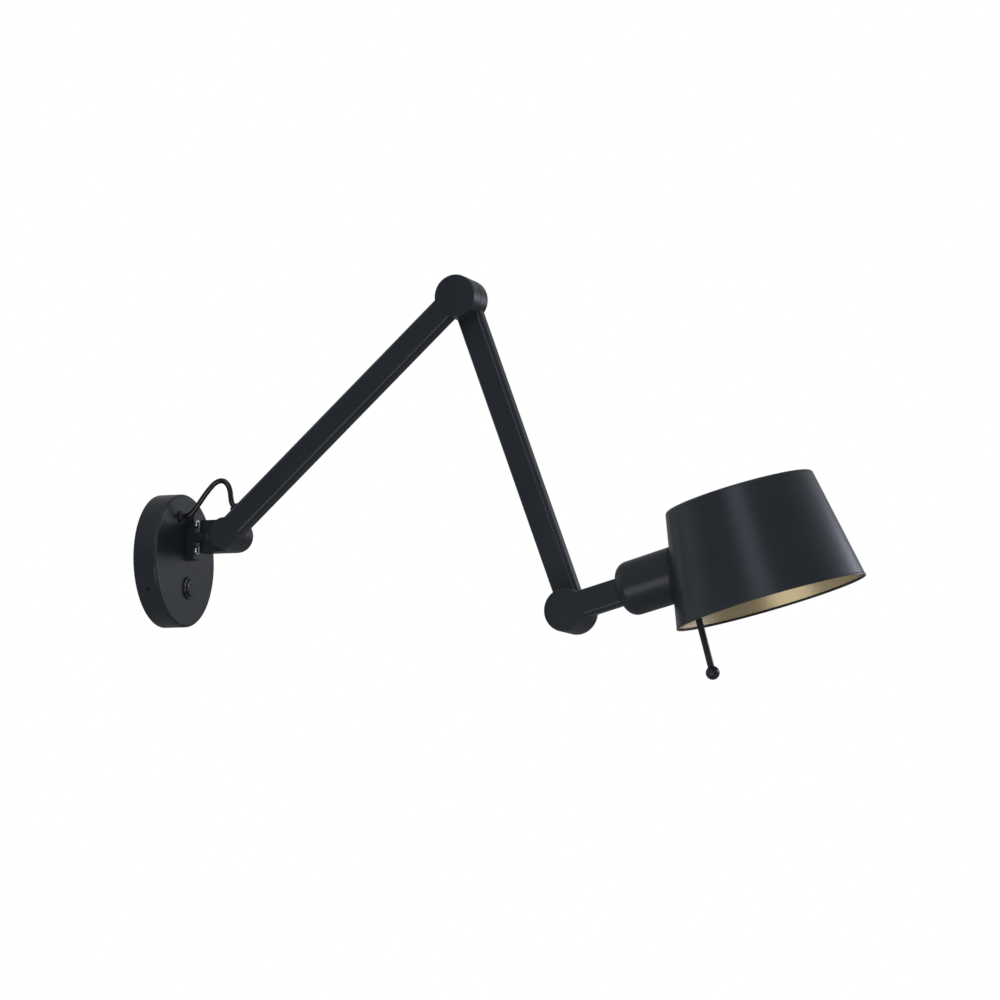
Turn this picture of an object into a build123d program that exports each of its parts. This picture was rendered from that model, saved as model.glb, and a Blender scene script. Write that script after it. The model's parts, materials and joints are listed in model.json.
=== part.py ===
from build123d import *
import os
from math import cos, pi, radians, sin, sqrt, tan

# Articulating wall lamp, in millimetres.
# The wall is the plane X = 0, +X points out of it and +Z up. The origin is the centre of the
# canopy on the wall. The arms lie in two layers: the front layer is at -Y, the rear one at +Y,
# and they meet at Y = 0.

# ---- driving dimensions -----------------------------------------------------------------------

# canopy and bracket
CANOPY_R = 60.0
CANOPY_DEPTH = 22.0
CANOPY_WALL = 1.2
CANOPY_EDGE_R = 2.2
BRACKET_R = 54.0
BRACKET_T = 1.5
TAB_T = 1.8
TAB_WIDTH = 14.0
TAB_DEPTH = 16.0
CABLE_HOLE_R = 12.0
WALL_SLOT_SPACING = 80.0
WALL_SLOT_R = 2.6
WALL_SLOT_LENGTH = 12.0
GRUB_ANGLES = (90, 210, 330)
GRUB_X = 11.0
GRUB_R = 2.0

# terminals on the bracket
BLOCK_Y = -28.0
BLOCK_WIDTH = 20.0
BLOCK_HEIGHT = 32.0
BLOCK_DEPTH = 15.0
POLE_PITCH = 10.0
EARTH_Y = 36.0

# push button
BUTTON_Y = 6.0
BUTTON_Z = -24.0
BEZEL_R = 10.3
BEZEL_T = 2.2
COLLAR_R = 9.0
BUTTON_R = 7.8
BUTTON_PROUD = 1.7
STEM_R = 2.0

# swivel on the canopy
SWIVEL_X = 40.5
SWIVEL_Y = 8.4
BASE_WIDTH = 12.8
BASE_HEIGHT = 41.0
BASE_T = 7.0
TONGUE_T = 7.7
YOKE_SLOT = 8.7
YOKE_R = 8.1
PIN_R = 3.0
BASE_SCREW_Z = 12.0
SCREW_R = 2.0
SCREW_HEAD_R = 4.0
SCREW_HEAD_T = 2.0

# cable gland and the cord loop
GLAND_Y = -11.9
GLAND_Z = 38.9
GLAND_R = 5.25
GLAND_T = 2.4
GLAND_NOSE = 1.6
CORD_R = 2.45
GLAND_THREAD_R = 3.8
GROMMET_U = 21.5
GROMMET_R = 4.6
GROMMET_NECK_R = 3.2
GROMMET_T = 2.2

# the three friction pivots and the arms
WALL_PIVOT_X = 67.1
WALL_PIVOT_Z = 21.9
ARM_LENGTH = 300.0
ARM_1_ANGLE = 42.55
ARM_2_ANGLE = -69.28
HEAD_ANGLE = 15.41
HUB_R = 19.0
SMALL_HUB_R = 14.5
HUB_FACE = 0.3
HUB_OUT = 16.5
HUB_WALL = 2.5
HUB_FLOOR = 4.5
BOSS_R = 6.0
BOLT_R = 3.0
BOLT_HEAD_R = 5.4
BOLT_HEAD_T = 4.0
BOLT_SOCKET_R = 2.9
BOLT_SOCKET_DEPTH = 2.2
BOLT_TIP = 11.5
SPRING_STACK = 1.45
CAP_SEAT = 2.6
CAP_T = 2.0
RING_SEAT = 1.5
RING_SEAT_WALL = 1.45
RING_WIDTH = 2.8
RUN_FIT = 0.05
ARM_WIDTH = 23.0
ARM_INNER_FACE = 1.5
ARM_EDGE_R = 4.0
HUB_EDGE_R = 1.0
HUB_MATE_R = 0.6
TUBE_WALL = 1.5
LEAD_R = 2.4
LEAD_OFFSET = 10.5

# head stub and cup; s runs along the cup's axis from the head pivot
CUP_OFFSET = 1.03
STUB_WIDTH = 24.0
STUB_END = 52.0
CUP_START = 52.4
CUP_R = 24.0
CUP_TAPER = 0.35
CUP_BACK_R = 11.0
CUP_WALL = 1.5
NIPPLE_R = 4.0
NIPPLE_BORE_R = 3.0

# shade; it is rolled a little about the cup's axis
SHADE_ROLL = 5.98
SHADE_S = 177.15
SHADE_TOP_W = -50.95
SHADE_BOTTOM_W = 48.05
SHADE_TOP_R = 64.9
SHADE_BOTTOM_R = 83.5
SHADE_WALL = 1.0
SHADE_TOP_EDGE_R = 3.0
SHADE_RIM_R = 1.1
GASKET_T = 2.5
HOLDER_R = 19.5
HOLDER_HOLE_R = 19.9
HOLDER_MOUTH = 125.0
THREAD_R = 13.3

# handle
ROD_S = 112.8
ROD_R = 2.9
BALL_R = 6.0
BALL_W = 91.0

# ---- planes -------------------------------------------------------------------------------------

WALL = Plane.YZ
WALL_PIVOT = Vector(WALL_PIVOT_X, 0, WALL_PIVOT_Z)
SHADE_HEIGHT = SHADE_BOTTOM_W - SHADE_TOP_W
LAYER_MID = (ARM_INNER_FACE + HUB_OUT) / 2


def heading(angle):
    """Direction in the arms' plane, at an angle above the horizontal."""
    return Vector(cos(radians(angle)), 0, sin(radians(angle)))


ELBOW = WALL_PIVOT + heading(ARM_1_ANGLE) * ARM_LENGTH
HEAD_PIVOT = ELBOW + heading(ARM_2_ANGLE) * ARM_LENGTH
FRONT = (0, -1, 0)
REAR = (0, 1, 0)

arm_1_plane = Plane(origin=WALL_PIVOT, x_dir=heading(ARM_1_ANGLE), z_dir=FRONT)
arm_2_plane = Plane(origin=ELBOW, x_dir=heading(ARM_2_ANGLE), z_dir=REAR)
stub_plane = Plane(origin=HEAD_PIVOT, x_dir=heading(HEAD_ANGLE), z_dir=FRONT)
yoke_plane = Plane(origin=WALL_PIVOT, x_dir=(1, 0, 0), z_dir=REAR)

# the cup's axis runs through the middle of the front layer
CUP_AXIS = heading(HEAD_ANGLE)
CUP_ORIGIN = HEAD_PIVOT + heading(HEAD_ANGLE + 90) * CUP_OFFSET + Vector(0, -LAYER_MID, 0)
DOWN = heading(HEAD_ANGLE - 90)
ROLLED_DOWN = DOWN * cos(radians(SHADE_ROLL)) + Vector(0, 1, 0) * sin(radians(SHADE_ROLL))
cup_plane = Plane(origin=CUP_ORIGIN, x_dir=(0, 1, 0), z_dir=CUP_AXIS)
HEAD_AXIS = Axis(CUP_ORIGIN, CUP_AXIS)
SHADE_TOP = CUP_ORIGIN + CUP_AXIS * SHADE_S + ROLLED_DOWN * SHADE_TOP_W
shade_section = Plane(origin=SHADE_TOP, x_dir=CUP_AXIS, z_dir=CUP_AXIS.cross(ROLLED_DOWN))
rod_plane = Plane(origin=CUP_ORIGIN + CUP_AXIS * ROD_S, x_dir=CUP_AXIS, z_dir=DOWN)


def save(piece, label):
    """Name a finished piece and write it to its own file."""
    piece.part.label = label
    export_step(piece.part, f"parts/{label}.step")


os.makedirs("parts", exist_ok=True)


# ---- shared builders ------------------------------------------------------------------------------

def disc(plane, start, end, radius, mode=Mode.ADD):
    """Round solid between two heights on a plane."""
    with BuildSketch(plane.offset(start)) as profile:
        Circle(radius)
    extrude(profile.sketch, amount=end - start, mode=mode)


def ring(plane, start, end, outer, inner, mode=Mode.ADD):
    """Flat ring between two heights on a plane."""
    with BuildSketch(plane.offset(start)) as profile:
        Circle(outer)
        Circle(inner, mode=Mode.SUBTRACT)
    extrude(profile.sketch, amount=end - start, mode=mode)


def hexagon(plane, start, end, corner_r, mode=Mode.ADD):
    """Hexagon head, nut or socket between two heights on a plane."""
    with BuildSketch(plane.offset(start)) as profile:
        RegularPolygon(corner_r, 6)
    extrude(profile.sketch, amount=end - start, mode=mode)


def bar(plane, length, width, low, high, edge, rise=0.0, start=0.0, mode=Mode.ADD):
    """Rounded bar along a plane's X, between two heights on it."""
    section = Plane(
        origin=plane.from_local_coords(Vector(start, rise, (low + high) / 2)),
        x_dir=plane.z_dir,
        z_dir=plane.x_dir,
    )
    with BuildSketch(section) as profile:
        RectangleRounded(high - low, width, edge)
    extrude(profile.sketch, amount=length - start, mode=mode)


def moved(plane, distance):
    """The same plane, moved along its own X."""
    return Plane(plane.from_local_coords(Vector(distance, 0, 0)), plane.x_dir, plane.z_dir)


def hub_end(plane, radius):
    """Round end of an arm, with a rounded front edge and a finer one where it meets its partner."""
    upwards = Axis(plane.origin, plane.z_dir)
    with BuildPart() as end:
        disc(plane, HUB_FACE, HUB_OUT, radius)
        fillet(end.edges().filter_by(GeomType.CIRCLE).sort_by(upwards)[-1], HUB_EDGE_R)
        fillet(end.edges().filter_by(GeomType.CIRCLE).sort_by(upwards)[0], HUB_MATE_R)
    return end.part


def boss_hub_hollow(plane, radius):
    """Hollow of a front hub: an annular space round a tapped boss, and a friction ring's seat."""
    ring(plane, HUB_FACE, HUB_OUT - HUB_WALL, radius - HUB_WALL, BOSS_R, Mode.SUBTRACT)
    disc(plane, HUB_FACE, HUB_FACE + 0.5, BOSS_R, Mode.SUBTRACT)
    ring(plane, HUB_FACE, RING_SEAT, radius - RING_SEAT_WALL, BOSS_R, Mode.SUBTRACT)
    disc(plane, HUB_FACE, BOLT_TIP + 0.5, BOLT_R, Mode.SUBTRACT)


def floor_hub_hollow(plane, radius):
    """Hollow of a rear hub: a floor with the bolt's bore, and a cavity with a seat for its cap."""
    inner = radius - HUB_WALL - 1.0
    disc(plane, HUB_FACE + HUB_FLOOR, HUB_OUT, inner, Mode.SUBTRACT)
    disc(plane, HUB_OUT - CAP_SEAT, HUB_OUT, inner + 1.1, Mode.SUBTRACT)
    disc(plane, 0, HUB_OUT, BOLT_R + RUN_FIT, Mode.SUBTRACT)


def hub_cap(plane, radius):
    """Recessed cover of a rear hub."""
    with BuildPart() as cap:
        disc(plane, HUB_OUT - CAP_SEAT, HUB_OUT - CAP_SEAT + CAP_T, radius - HUB_WALL + 0.05)
        edge = cap.edges().filter_by(GeomType.CIRCLE).sort_by(Axis(plane.origin, plane.z_dir))[-1]
        chamfer(edge, 0.4)
    return cap


def hub_bolt(plane):
    """Socket screw from the rear hub into the front hub's boss; plane faces the front."""
    head = -(HUB_FACE + HUB_FLOOR + SPRING_STACK)
    with BuildPart() as bolt:
        disc(plane, head - BOLT_HEAD_T, head, BOLT_HEAD_R)
        rim = bolt.edges().filter_by(GeomType.CIRCLE).sort_by(Axis(plane.origin, plane.z_dir))[0]
        chamfer(rim, 0.5)
        disc(plane, head, BOLT_TIP, BOLT_R)
        tip = bolt.edges().filter_by(GeomType.CIRCLE).sort_by(Axis(plane.origin, plane.z_dir))[-1]
        chamfer(tip, 0.5)
        top = head - BOLT_HEAD_T
        hexagon(plane, top, top + BOLT_SOCKET_DEPTH, BOLT_SOCKET_R, Mode.SUBTRACT)
    return bolt


def spring_washer(plane):
    """Domed spring washer under the bolt's head, clear of the rear hub's floor."""
    seat = -(HUB_FACE + HUB_FLOOR + SPRING_STACK)
    with BuildPart() as washer:
        with BuildSketch(Plane(plane.origin, plane.x_dir, plane.z_dir.cross(plane.x_dir) * -1)):
            with BuildLine():
                Polyline(
                    (BOLT_R + 0.1, seat),
                    (BOLT_R + 0.1, seat + 0.7),
                    (5.9, seat + 1.4),
                    (5.9, seat + 0.7),
                    close=True,
                )
            make_face()
        revolve(axis=Axis(plane.origin, plane.z_dir))
    return washer


def friction_washer(plane, radius):
    """Fibre ring in the front hub's seat; it bears on the rear hub."""
    with BuildPart() as washer:
        outer = radius - RING_SEAT_WALL - RUN_FIT
        ring(plane, -HUB_FACE + RUN_FIT, RING_SEAT, outer, outer - RING_WIDTH)
    return washer


# ---- canopy and what is inside it -------------------------------------------------------------------

def radial(angle, radius, depth):
    """Plane that faces outwards on the canopy's side wall."""
    out = Vector(0, cos(radians(angle)), sin(radians(angle)))
    return Plane(origin=out * radius + Vector(depth, 0, 0), x_dir=(1, 0, 0), z_dir=out)


SIDE_WALL_R = CANOPY_R - CANOPY_WALL
FACE_BACK = CANOPY_DEPTH - CANOPY_WALL

with BuildPart() as canopy:
    disc(WALL, 0, CANOPY_DEPTH, CANOPY_R)
    fillet(canopy.edges().filter_by(GeomType.CIRCLE).sort_by(Axis.X)[-1], CANOPY_EDGE_R)
    offset(amount=-CANOPY_WALL, openings=canopy.faces().sort_by(Axis.X)[0])
    with BuildSketch(WALL.offset(FACE_BACK)):
        with Locations((BUTTON_Y, BUTTON_Z)):
            Circle(COLLAR_R)
        with Locations((GLAND_Y, GLAND_Z)):
            Circle(GLAND_THREAD_R)
        with Locations(
            (SWIVEL_Y, WALL_PIVOT_Z - BASE_SCREW_Z),
            (SWIVEL_Y, WALL_PIVOT_Z + BASE_SCREW_Z),
        ):
            Circle(SCREW_R)
    extrude(amount=CANOPY_WALL, mode=Mode.SUBTRACT)
    for angle in GRUB_ANGLES:
        disc(radial(angle, SIDE_WALL_R - 2, GRUB_X), 0, 5, GRUB_R + 0.5, Mode.SUBTRACT)
save(canopy, "canopy")

TAB_FACE = SIDE_WALL_R - 0.5
with BuildPart() as mounting_bracket:
    with BuildSketch(WALL):
        Circle(BRACKET_R)
        Circle(CABLE_HOLE_R, mode=Mode.SUBTRACT)
        with Locations((0, WALL_SLOT_SPACING / 2), (0, -WALL_SLOT_SPACING / 2)):
            SlotOverall(WALL_SLOT_LENGTH, 2 * WALL_SLOT_R, rotation=90, mode=Mode.SUBTRACT)
        for angle in GRUB_ANGLES:
            with PolarLocations(TAB_FACE - 5, 1, start_angle=angle):
                Rectangle(10, TAB_WIDTH)
    extrude(amount=BRACKET_T)
    with BuildSketch(WALL):
        for angle in GRUB_ANGLES:
            with PolarLocations(TAB_FACE - TAB_T / 2, 1, start_angle=angle):
                Rectangle(TAB_T, TAB_WIDTH)
    extrude(amount=TAB_DEPTH)
    for angle in GRUB_ANGLES:
        disc(radial(angle, TAB_FACE - TAB_T - 2, GRUB_X), 0, 2.5, 3.4)
        disc(radial(angle, TAB_FACE - TAB_T - 3, GRUB_X), 0, 8, GRUB_R, Mode.SUBTRACT)
    with BuildSketch(WALL.offset(BRACKET_T)):
        with Locations((EARTH_Y, 0)):
            Circle(4.0)
    extrude(amount=2.5)
    with BuildSketch(WALL):
        with Locations((EARTH_Y, 0)):
            Circle(SCREW_R)
    extrude(amount=5, mode=Mode.SUBTRACT)
save(mounting_bracket, "mounting_bracket")

with BuildPart() as canopy_grub_screws:
    for angle in GRUB_ANGLES:
        disc(radial(angle, TAB_FACE - TAB_T - 1.6, GRUB_X), 0, 4.4, GRUB_R)
        hexagon(radial(angle, TAB_FACE - 1.2, GRUB_X), 0, 3, 1.1, Mode.SUBTRACT)
save(canopy_grub_screws, "canopy_grub_screws")

POLES = [(BLOCK_Y, i * POLE_PITCH) for i in (-1, 0, 1)]
SCREW_ROW = [(BLOCK_Y + side * 5, i * POLE_PITCH) for i in (-1, 0, 1) for side in (-1, 1)]
CLAMP_X = 8.0
with BuildPart() as terminal_block:
    with BuildSketch(WALL.offset(BRACKET_T)):
        with Locations((BLOCK_Y, 0)):
            RectangleRounded(BLOCK_WIDTH, BLOCK_HEIGHT, 1.5)
    extrude(amount=BLOCK_DEPTH)
    with BuildSketch(Plane.XZ.offset(-BLOCK_Y)):
        with Locations(*[(CLAMP_X, z) for y, z in POLES]):
            Circle(3.2)
    extrude(amount=BLOCK_WIDTH, both=True, mode=Mode.SUBTRACT)
    with BuildSketch(WALL.offset(CLAMP_X)):
        with Locations(*SCREW_ROW):
            Circle(2.3)
    extrude(amount=BLOCK_DEPTH, mode=Mode.SUBTRACT)
save(terminal_block, "terminal_block")

with BuildPart() as terminal_clamps:
    with BuildSketch(Plane.XZ.offset(-BLOCK_Y)):
        with Locations(*[(CLAMP_X, z) for y, z in POLES]):
            Circle(3.2)
            Circle(1.9, mode=Mode.SUBTRACT)
    extrude(amount=8, both=True)
    with BuildSketch(WALL.offset(CLAMP_X)):
        with Locations(*SCREW_ROW):
            Circle(1.5)
    extrude(amount=5, mode=Mode.SUBTRACT)
save(terminal_clamps, "terminal_clamps")

with BuildPart() as terminal_screws:
    with BuildSketch(WALL.offset(CLAMP_X + 1.0)):
        with Locations(*SCREW_ROW):
            Circle(1.5)
    extrude(amount=4)
    with BuildSketch(WALL.offset(CLAMP_X + 4.0)):
        with Locations(*SCREW_ROW):
            Circle(2.2)
    extrude(amount=1.6)
    with BuildSketch(WALL.offset(CLAMP_X + 5.0)):
        with Locations(*SCREW_ROW):
            Rectangle(0.6, 5)
    extrude(amount=1, mode=Mode.SUBTRACT)
save(terminal_screws, "terminal_screws")

EARTH_PLANE = Plane(origin=(0, EARTH_Y, 0), x_dir=(0, 1, 0), z_dir=(1, 0, 0))
with BuildPart() as earth_screw:
    disc(EARTH_PLANE, 0.5, 4.0, SCREW_R)
    ring(EARTH_PLANE, 4.0, 4.8, 5.0, SCREW_R)
    disc(EARTH_PLANE, 4.0, 7.2, SCREW_HEAD_R)
    with BuildSketch(EARTH_PLANE.offset(6.2)):
        Rectangle(1.0, 9)
        Rectangle(4.5, 1.0)
    extrude(amount=2, mode=Mode.SUBTRACT)
save(earth_screw, "earth_screw")

# ---- push button --------------------------------------------------------------------------------------

BUTTON_PLANE = Plane(origin=(0, BUTTON_Y, BUTTON_Z), x_dir=(0, 1, 0), z_dir=(1, 0, 0))
COLLAR_END = 13.0
CAP_BACK = 18.5
NUT_T = 3.0
SWITCH_BACK = 3.5
SWITCH_SIZE = 18.0
BEZEL_FRONT = CANOPY_DEPTH + BEZEL_T
with BuildPart() as switch_bezel:
    disc(BUTTON_PLANE, CANOPY_DEPTH, BEZEL_FRONT, BEZEL_R)
    fillet(switch_bezel.edges().filter_by(GeomType.CIRCLE).sort_by(Axis.X)[-1], 1.2)
    disc(BUTTON_PLANE, COLLAR_END, CANOPY_DEPTH, COLLAR_R)
    disc(BUTTON_PLANE, COLLAR_END, BEZEL_FRONT, BUTTON_R + 0.1, Mode.SUBTRACT)
    mouth = switch_bezel.edges().filter_by(GeomType.CIRCLE).group_by(Axis.X)[-1].sort_by(SortBy.RADIUS)[0]
    fillet(mouth, 0.4)
save(switch_bezel, "switch_bezel")

with BuildPart() as switch_nut:
    hexagon(BUTTON_PLANE, FACE_BACK - NUT_T, FACE_BACK, 12.5)
    disc(BUTTON_PLANE, 0, FACE_BACK, COLLAR_R, Mode.SUBTRACT)
save(switch_nut, "switch_nut")

with BuildPart() as switch_body:
    with BuildSketch(BUTTON_PLANE.offset(SWITCH_BACK)):
        RectangleRounded(SWITCH_SIZE, SWITCH_SIZE, 1.5)
    extrude(amount=COLLAR_END - SWITCH_BACK)
    with BuildSketch(BUTTON_PLANE.offset(6.0)):
        Circle(STEM_R + 0.1)
    extrude(amount=10, mode=Mode.SUBTRACT)
    with BuildSketch(BUTTON_PLANE.offset(2.0)):
        with Locations((-5, 0), (5, 0)):
            Rectangle(0.8, 6.3)
    extrude(amount=1.5)
save(switch_body, "switch_body")

with BuildPart() as switch_button:
    disc(BUTTON_PLANE, CAP_BACK, BEZEL_FRONT + BUTTON_PROUD, BUTTON_R)
    fillet(switch_button.edges().filter_by(GeomType.CIRCLE).sort_by(Axis.X)[-1], 1.3)
    disc(BUTTON_PLANE, 9.5, CAP_BACK, STEM_R)
save(switch_button, "switch_button")

SPRING_R = 4.4
SPRING_WIRE_R = 0.4
SPRING_HEIGHT = CAP_BACK - COLLAR_END - 2 * SPRING_WIRE_R - 0.1
with BuildPart() as switch_spring:
    with BuildLine() as spring_line:
        Helix(
            pitch=SPRING_HEIGHT / 3,
            height=SPRING_HEIGHT,
            radius=SPRING_R,
            center=(COLLAR_END + SPRING_WIRE_R + 0.05, BUTTON_Y, BUTTON_Z),
            direction=(1, 0, 0),
        )
    coil = spring_line.wires()[0]
    with BuildSketch(Plane(origin=coil @ 0, z_dir=coil % 0)):
        Circle(SPRING_WIRE_R)
    sweep(path=coil, is_frenet=True)
save(switch_spring, "switch_spring")

# ---- swivel -------------------------------------------------------------------------------------------

BASE_FRONT = CANOPY_DEPTH + BASE_T
BASE_SCREWS = [(SWIVEL_Y, WALL_PIVOT_Z + side * BASE_SCREW_Z) for side in (-1, 1)]
with BuildPart() as swivel_base:
    with BuildSketch(WALL.offset(CANOPY_DEPTH)):
        with Locations((SWIVEL_Y, WALL_PIVOT_Z)):
            RectangleRounded(BASE_WIDTH, BASE_HEIGHT, 1.5)
    extrude(amount=BASE_T)
    fillet(swivel_base.edges().group_by(Axis.X)[-1], 0.6)
    with BuildSketch(Plane.XY.offset(WALL_PIVOT_Z - TONGUE_T / 2)):
        with Locations(((BASE_FRONT + SWIVEL_X) / 2 - 0.5, SWIVEL_Y)):
            Rectangle(SWIVEL_X - BASE_FRONT + 1, BASE_WIDTH)
        with Locations((SWIVEL_X, SWIVEL_Y)):
            Circle(BASE_WIDTH / 2)
    extrude(amount=TONGUE_T)
    with BuildSketch(Plane.XY.offset(WALL_PIVOT_Z - TONGUE_T)):
        with Locations((SWIVEL_X, SWIVEL_Y)):
            Circle(PIN_R + RUN_FIT)
    extrude(amount=2 * TONGUE_T, mode=Mode.SUBTRACT)
    with BuildSketch(WALL.offset(CANOPY_DEPTH)):
        with Locations(*BASE_SCREWS):
            Circle(SCREW_R)
    extrude(amount=BASE_T, mode=Mode.SUBTRACT)
save(swivel_base, "swivel_base")

PLATE_T = 3.0
with BuildPart() as swivel_backing_plate:
    with BuildSketch(WALL.offset(FACE_BACK - PLATE_T)):
        with Locations((SWIVEL_Y, WALL_PIVOT_Z)):
            RectangleRounded(14.0, 38.0, 2.0)
        with Locations(*BASE_SCREWS):
            Circle(SCREW_R, mode=Mode.SUBTRACT)
    extrude(amount=PLATE_T)
save(swivel_backing_plate, "swivel_backing_plate")

with BuildPart() as swivel_base_screws:
    with BuildSketch(WALL.offset(FACE_BACK - PLATE_T - 1.0)):
        with Locations(*BASE_SCREWS):
            Circle(SCREW_R)
    extrude(amount=BASE_FRONT - FACE_BACK + PLATE_T + 1.0)
    with BuildSketch(WALL.offset(BASE_FRONT)):
        with Locations(*BASE_SCREWS):
            Circle(SCREW_HEAD_R)
    extrude(amount=SCREW_HEAD_T)
    fillet(swivel_base_screws.edges().filter_by(GeomType.CIRCLE).group_by(Axis.X)[-1], 1.0)
    with BuildSketch(WALL.offset(BASE_FRONT + SCREW_HEAD_T - 1.1)):
        with Locations(*BASE_SCREWS):
            Rectangle(4.2, 0.9)
            Rectangle(0.9, 4.2)
    extrude(amount=2, mode=Mode.SUBTRACT)
save(swivel_base_screws, "swivel_base_screws")

with BuildPart() as swivel_yoke:
    with BuildSketch(Plane.XY.offset(WALL_PIVOT_Z - SMALL_HUB_R)):
        with Locations(((SWIVEL_X + WALL_PIVOT_X) / 2, SWIVEL_Y)):
            Rectangle(WALL_PIVOT_X - SWIVEL_X, 2 * YOKE_R)
        with Locations((SWIVEL_X, SWIVEL_Y)):
            Circle(YOKE_R)
    extrude(amount=2 * SMALL_HUB_R)
    add(hub_end(yoke_plane, SMALL_HUB_R))
    with BuildSketch(Plane.XY.offset(WALL_PIVOT_Z - YOKE_SLOT / 2)):
        with Locations((SWIVEL_X - 3.5, SWIVEL_Y)):
            Rectangle(22.0, 3 * YOKE_R)
    extrude(amount=YOKE_SLOT, mode=Mode.SUBTRACT)
    with BuildSketch(Plane.XY.offset(WALL_PIVOT_Z - 2 * SMALL_HUB_R)):
        with Locations((SWIVEL_X, SWIVEL_Y)):
            Circle(PIN_R)
    extrude(amount=4 * SMALL_HUB_R, mode=Mode.SUBTRACT)
    floor_hub_hollow(yoke_plane, SMALL_HUB_R)
save(swivel_yoke, "swivel_yoke")

with BuildPart() as swivel_pin:
    with BuildSketch(Plane.XY.offset(WALL_PIVOT_Z - SMALL_HUB_R + 0.2)):
        with Locations((SWIVEL_X, SWIVEL_Y)):
            Circle(PIN_R)
    extrude(amount=2 * SMALL_HUB_R - 0.4)
    chamfer(swivel_pin.edges().filter_by(GeomType.CIRCLE), 0.4)
save(swivel_pin, "swivel_pin")

WASHER_T = (YOKE_SLOT - TONGUE_T) / 2
with BuildPart() as swivel_washers:
    for height in (-YOKE_SLOT / 2, YOKE_SLOT / 2 - WASHER_T + RUN_FIT):
        with BuildSketch(Plane.XY.offset(WALL_PIVOT_Z + height)):
            with Locations((SWIVEL_X, SWIVEL_Y)):
                Circle(BASE_WIDTH / 2)
                Circle(PIN_R, mode=Mode.SUBTRACT)
        extrude(amount=WASHER_T - RUN_FIT)
save(swivel_washers, "swivel_washers")

wall_pivot_cap = hub_cap(yoke_plane, SMALL_HUB_R)
save(wall_pivot_cap, "wall_pivot_cap")

# ---- cable gland and cord loop --------------------------------------------------------------------------

GLAND_PLANE = Plane(origin=(0, GLAND_Y, GLAND_Z), x_dir=(0, 1, 0), z_dir=(1, 0, 0))
GLAND_FRONT = CANOPY_DEPTH + GLAND_T + GLAND_NOSE
with BuildPart() as cable_gland:
    disc(GLAND_PLANE, CANOPY_DEPTH, CANOPY_DEPTH + GLAND_T, GLAND_R)
    fillet(cable_gland.edges().filter_by(GeomType.CIRCLE).sort_by(Axis.X)[-1], 0.8)
    disc(GLAND_PLANE, CANOPY_DEPTH - 8.0, GLAND_FRONT, GLAND_THREAD_R)
    fillet(cable_gland.edges().filter_by(GeomType.CIRCLE).sort_by(Axis.X)[-1], 0.7)
    disc(GLAND_PLANE, CANOPY_DEPTH - 9.0, CANOPY_DEPTH + 9.0, CORD_R, Mode.SUBTRACT)
save(cable_gland, "cable_gland")

with BuildPart() as gland_nut:
    hexagon(GLAND_PLANE, FACE_BACK - NUT_T, FACE_BACK, 6.6)
    disc(GLAND_PLANE, 0, FACE_BACK, GLAND_THREAD_R, Mode.SUBTRACT)
save(gland_nut, "gland_nut")


def lead(plane, points, bends):
    """Round lead held inside the lamp, along straight runs joined by tangent arcs."""
    route = [plane.from_local_coords(Vector(*point)) for point in points]
    with BuildPart() as tube:
        with BuildLine() as line:
            FilletPolyline(*route, radius=bends)
        path = line.wires()[0]
        with BuildSketch(Plane(origin=path @ 0, z_dir=path % 0)):
            Circle(LEAD_R)
        sweep(path=path)
    return tube


canopy_lead = lead(
    GLAND_PLANE,
    [
        (0, 0, GLAND_FRONT),
        (0, 0, 9.0),
        (BLOCK_Y - GLAND_Y, -12.0, 9.0),
        (BLOCK_Y - GLAND_Y, BLOCK_HEIGHT / 2 - GLAND_Z, 9.0),
    ],
    [5.0, 8.0],
)
save(canopy_lead, "canopy_lead")

# The cord leaves the gland along +X, rises, turns over and enters the grommet on arm 1.
ARM_TOP = ARM_WIDTH / 2
GROMMET_TOP = arm_1_plane.from_local_coords(Vector(GROMMET_U, ARM_TOP + GROMMET_T, LAYER_MID))
GROMMET_OUT = heading(ARM_1_ANGLE + 90)
CORD_ROUTE = [
    Vector(GLAND_FRONT, GLAND_Y, GLAND_Z),
    Vector(30.7, -11.9, 38.9),
    Vector(35.2, -11.7, 43.2),
    Vector(39.9, -11.5, 49.6),
    Vector(46.8, -11.1, 59.2),
    Vector(53.7, -10.6, 67.1),
    Vector(58.9, -10.3, 70.0),
    Vector(64.0, -10.0, 69.8),
    Vector(67.8, -9.7, 66.2),
    Vector(69.9, -9.4, 60.6),
    Vector(70.6, -9.2, 54.6),
    GROMMET_TOP + GROMMET_OUT * 3.2,
    GROMMET_TOP,
]


def turn_radii(route, share=0.45):
    """Largest arcs that the runs leave room for, one for each corner of the route."""
    radii = []
    for before, here, after in zip(route, route[1:], route[2:]):
        turn = radians((here - before).get_angle(after - here))
        run = min((here - before).length, (after - here).length)
        radii.append(share * run / tan(turn / 2))
    return radii


with BuildPart() as jumper_cable:
    with BuildLine() as jumper_line:
        FilletPolyline(*CORD_ROUTE, radius=turn_radii(CORD_ROUTE))
    jumper_path = jumper_line.wires()[0]
    with BuildSketch(Plane(origin=jumper_path @ 0, z_dir=jumper_path % 0)):
        Circle(LEAD_R)
    sweep(path=jumper_path)
save(jumper_cable, "jumper_cable")
jumper_section = pi * LEAD_R**2
print("cord radii", [round(radius, 1) for radius in turn_radii(CORD_ROUTE)])
print("cord length", round(jumper_path.length, 1))
print("cord volume ratio", round(jumper_cable.part.volume / (jumper_section * jumper_path.length), 4))

# ---- arm 1 ----------------------------------------------------------------------------------------------

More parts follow.
